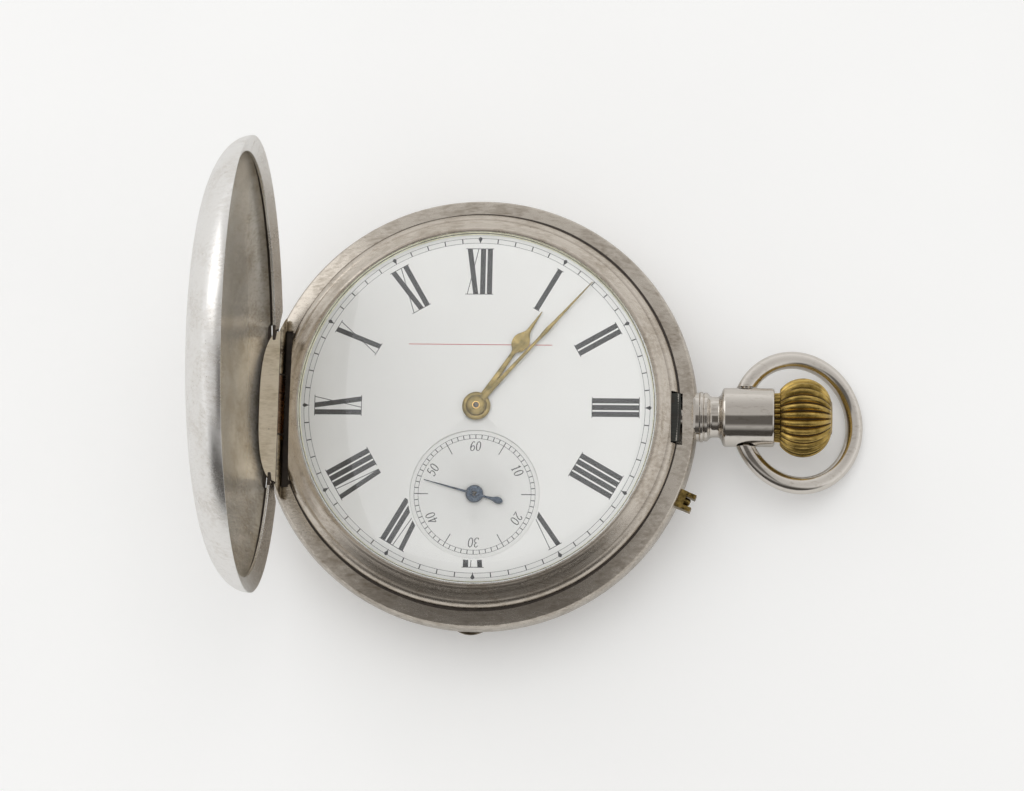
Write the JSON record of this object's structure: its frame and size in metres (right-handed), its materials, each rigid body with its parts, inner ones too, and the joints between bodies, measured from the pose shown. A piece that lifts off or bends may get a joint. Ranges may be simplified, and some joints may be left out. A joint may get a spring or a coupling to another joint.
{
  "type": "pocket watch",
  "caption": "Silver full hunter pocket watch with a hinged front lid, back and dust cover, enamel dial with small seconds, ribbed winding crown, bow and a working train.",
  "frame": {"origin": "centre of the flat on the back cover that the watch lies on", "axes": "+Z out through the dial, +X along the pendant at 3 o'clock, +Y towards 12"},
  "size_m": [0.0756, 0.0529, 0.0605],
  "materials": {
    "silver": "worn polish",
    "silver_inner": "polished",
    "joint_steel": "dull",
    "glass": "clear",
    "polished_steel": "polished",
    "blued_steel": "blued",
    "brass": "polished and worn",
    "gilt_brass": "gilt",
    "gilt_hands": "gilt and aged",
    "enamel": "glossy white",
    "jewel": "polished ruby"
  },
  "bodies": {
    "case": {"case_middle": "silver", "front_joint_pin": "joint_steel", "back_joint_pin": "joint_steel", "cuvette_joint_pin": "joint_steel", "bezel": "silver", "crystal": "glass", "lift_spring": "polished_steel", "case_spring_screws": "blued_steel", "pendant": "silver", "set_pin_guard": "brass", "case_screws": "blued_steel", "dial": "enamel", "seconds_dial": "enamel", "main_plate": "gilt_brass", "three_quarter_plate": "gilt_brass", "balance_cock": "gilt_brass", "pallet_cock": "gilt_brass", "plate_screws": "blued_steel", "click_spring": "polished_steel", "hairspring": "blued_steel", "jewels": "jewel", "banking_pins": "gilt_brass"},
    "lid": {"front_lid": "silver"},
    "back": {"back_cover": "silver"},
    "dust_cover": {"cuvette": "silver_inner"},
    "bow": {"bow": "silver"},
    "winding": {"winding_pinion": "polished_steel"},
    "crown": {"crown": "brass", "winding_stem": "polished_steel"},
    "lock_spring": {"lock_spring": "polished_steel"},
    "set_pin": {"set_pin": "brass"},
    "setting_lever": {"setting_lever": "polished_steel"},
    "minute": {"cannon_pinion": "polished_steel", "minute_hand": "gilt_hands"},
    "minute_wheel": {"minute_wheel": "gilt_brass"},
    "hour": {"hour_wheel": "gilt_brass", "hour_hand": "gilt_hands"},
    "fourth": {"fourth_wheel": "gilt_brass", "seconds_hand": "blued_steel"},
    "third": {"third_wheel": "gilt_brass"},
    "centre": {"centre_wheel": "gilt_brass"},
    "barrel": {"barrel": "gilt_brass", "barrel_cover": "gilt_brass", "mainspring": "polished_steel"},
    "escape": {"escape_wheel": "gilt_brass"},
    "ratchet": {"barrel_arbor": "polished_steel", "ratchet_wheel": "polished_steel"},
    "crown_wheel": {"crown_wheel": "polished_steel"},
    "click": {"click": "polished_steel"},
    "pallet_fork": {"pallet_fork": "polished_steel"},
    "balance": {"balance_wheel": "gilt_brass", "balance_staff": "polished_steel"},
    "regulator": {"regulator": "polished_steel"}
  },
  "joints": [
    {"name": "lid_hinge", "type": "hinge", "parent": "case", "child": "lid", "pos_m": [-0.02435, 0, 0.0102], "axis": [0, -1, 0], "range_deg": [-90, 0]},
    {"name": "back_hinge", "type": "hinge", "parent": "case", "child": "back", "pos_m": [-0.02435, 0, 0.0048], "axis": [0, 1, 0], "range_deg": [0, 95]},
    {"name": "dust_cover_hinge", "type": "hinge", "parent": "case", "child": "dust_cover", "pos_m": [-0.0218, 0, 0.00475], "axis": [0, 1, 0], "range_deg": [0, 81]},
    {"name": "bow_swing", "type": "hinge", "parent": "case", "child": "bow", "pos_m": [0.03215, 0, 0.0073], "axis": [0, 1, 0], "range_deg": [-115, 65]},
    {"name": "crown_turn", "type": "hinge", "parent": "case", "child": "winding", "pos_m": [0.02, 0, 0.0073], "axis": [1, 0, 0], "continuous": true},
    {"name": "crown_push", "type": "slide", "parent": "winding", "child": "crown", "axis": [-1, 0, 0], "range_m": [0, 0.0006], "stiffness_N_per_m": 3000},
    {"name": "lock_spring_flex", "type": "hinge", "parent": "case", "child": "lock_spring", "pos_m": [0.01974, 0.01434, 0.0075], "axis": [0, 0, 1], "range_deg": [-1.3, 0]},
    {"name": "set_push", "type": "slide", "parent": "case", "child": "set_pin", "axis": [-0.9219, 0.3875, 0], "range_m": [0, 0.0008], "stiffness_N_per_m": 800},
    {"name": "setting_lever_turn", "type": "hinge", "parent": "case", "child": "setting_lever", "pos_m": [0.01255, -0.01015, 0.0082], "axis": [0, 0, 1], "range_deg": [0, 12]},
    {"name": "minute_turn", "type": "hinge", "parent": "case", "child": "minute", "pos_m": [0, 0, 0.0129], "axis": [0, 0, 1], "continuous": true},
    {"name": "minute_wheel_turn", "type": "hinge", "parent": "case", "child": "minute_wheel", "pos_m": [0.0027, 0.00322, 0.0105], "axis": [0, 0, 1], "continuous": true},
    {"name": "hour_turn", "type": "hinge", "parent": "case", "child": "hour", "pos_m": [0, 0, 0.0126], "axis": [0, 0, 1], "continuous": true},
    {"name": "escape_turn", "type": "hinge", "parent": "case", "child": "escape", "pos_m": [-0.00457, -0.00796, 0.0061], "axis": [0, 0, 1], "continuous": true},
    {"name": "fourth_turn", "type": "hinge", "parent": "case", "child": "fourth", "pos_m": [0, -0.0106, 0.0054], "axis": [0, 0, 1], "continuous": true},
    {"name": "third_turn", "type": "hinge", "parent": "case", "child": "third", "pos_m": [0.00329, -0.0059, 0.0073], "axis": [0, 0, 1], "continuous": true},
    {"name": "centre_turn", "type": "hinge", "parent": "case", "child": "centre", "pos_m": [0, 0, 0.0078], "axis": [0, 0, 1], "continuous": true},
    {"name": "barrel_turn", "type": "hinge", "parent": "case", "child": "barrel", "pos_m": [0.00761, 0.00633, 0.006], "axis": [0, 0, 1], "continuous": true},
    {"name": "ratchet_turn", "type": "hinge", "parent": "case", "child": "ratchet", "pos_m": [0.00761, 0.00633, 0.0043], "axis": [0, 0, 1], "continuous": true},
    {"name": "crown_wheel_turn", "type": "hinge", "parent": "case", "child": "crown_wheel", "pos_m": [0.01547, 0, 0.0043], "axis": [0, 0, 1], "continuous": true},
    {"name": "click_turn", "type": "hinge", "parent": "case", "child": "click", "pos_m": [0.01132, 0.01331, 0.0043], "axis": [0, 0, 1], "range_deg": [-8, 8], "stiffness_Nm_per_rad": 0.000001},
    {"name": "pallet_fork_swing", "type": "hinge", "parent": "case", "child": "pallet_fork", "pos_m": [-0.00776, -0.00609, 0.006], "axis": [0, 0, 1], "range_deg": [-5, 5]},
    {"name": "balance_swing", "type": "hinge", "parent": "case", "child": "balance", "pos_m": [-0.012, -0.0036, 0.0045], "axis": [0, 0, 1], "range_deg": [-270, 270], "stiffness_Nm_per_rad": 0.000001},
    {"name": "regulator_turn", "type": "hinge", "parent": "case", "child": "regulator", "pos_m": [-0.012, -0.0036, 0.003], "axis": [0, 0, 1], "range_deg": [-20, 20]}
  ],
  "couplings": [
    {"joint": "dust_cover_hinge", "follows": "back_hinge", "ratio": 0.85},
    {"joint": "lock_spring_flex", "follows": "crown_push", "rad_per_m": -32.9},
    {"joint": "setting_lever_turn", "follows": "set_push", "rad_per_m": 257.4},
    {"joint": "minute_wheel_turn", "follows": "minute_turn", "ratio": -0.33333},
    {"joint": "hour_turn", "follows": "minute_turn", "ratio": 0.083333},
    {"joint": "fourth_turn", "follows": "escape_turn", "ratio": -0.1},
    {"joint": "third_turn", "follows": "escape_turn", "ratio": 0.013333},
    {"joint": "centre_turn", "follows": "escape_turn", "ratio": -0.0016667},
    {"joint": "barrel_turn", "follows": "escape_turn", "ratio": 0.00025641},
    {"joint": "crown_wheel_turn", "follows": "crown_turn", "ratio": 0.6},
    {"joint": "ratchet_turn", "follows": "crown_turn", "ratio": -0.5}
  ]
}
